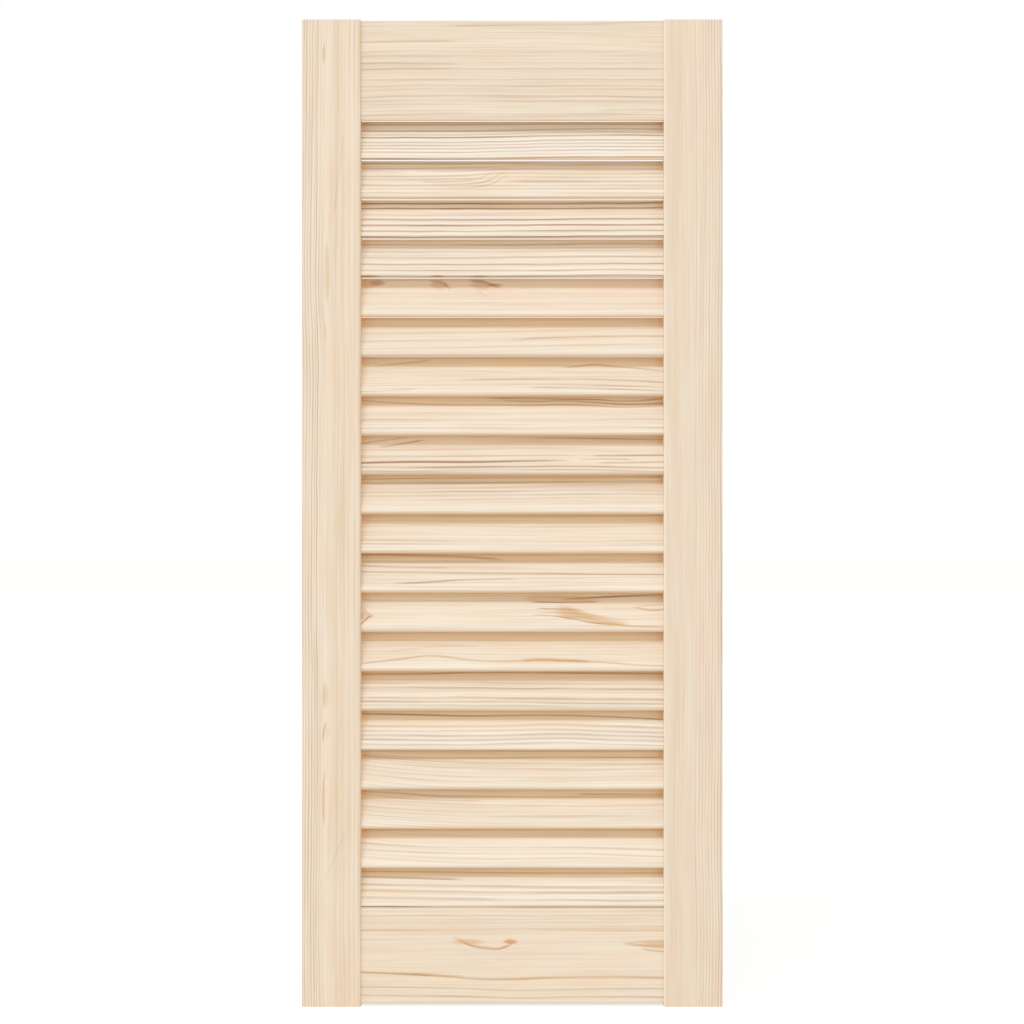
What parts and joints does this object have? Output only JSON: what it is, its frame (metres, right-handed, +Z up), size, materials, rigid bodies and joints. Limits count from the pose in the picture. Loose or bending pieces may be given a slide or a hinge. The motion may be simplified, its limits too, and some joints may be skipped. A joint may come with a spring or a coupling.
{
  "type": "louvred cabinet door",
  "caption": "Solid pine louvred cabinet door: flat stiles and rails frame a column of fixed downward-sloping slats that let air through and block the view; undrilled blank.",
  "frame": {"origin": "middle of the door's base, halfway across its width and through its thickness, at the level of the stiles' lower ends", "axes": "+Z up the stiles, -Y out of the front face, +X to the right as seen from the front"},
  "size_m": [0.294, 0.021, 0.69],
  "materials": {
    "pine_frame": "planed and sanded, untreated",
    "pine_slat": "planed and sanded, untreated, rounded edges",
    "beech_dowel": "fluted, untreated"
  },
  "bodies": {
    "root": {"bottom_rail": "pine_frame", "dowel_bottom_left_lower": "beech_dowel", "dowel_bottom_left_upper": "beech_dowel", "dowel_bottom_right_lower": "beech_dowel", "dowel_bottom_right_upper": "beech_dowel", "dowel_top_left_lower": "beech_dowel", "dowel_top_left_upper": "beech_dowel", "dowel_top_right_lower": "beech_dowel", "dowel_top_right_upper": "beech_dowel", "left_stile": "pine_frame", "right_stile": "pine_frame", "slat_01": "pine_slat", "slat_02": "pine_slat", "slat_03": "pine_slat", "slat_04": "pine_slat", "slat_05": "pine_slat", "slat_06": "pine_slat", "slat_07": "pine_slat", "slat_08": "pine_slat", "slat_09": "pine_slat", "slat_10": "pine_slat", "slat_11": "pine_slat", "slat_12": "pine_slat", "slat_13": "pine_slat", "slat_14": "pine_slat", "slat_15": "pine_slat", "slat_16": "pine_slat", "slat_17": "pine_slat", "slat_18": "pine_slat", "slat_19": "pine_slat", "slat_20": "pine_slat", "top_rail": "pine_frame"}
  },
  "joints": []
}
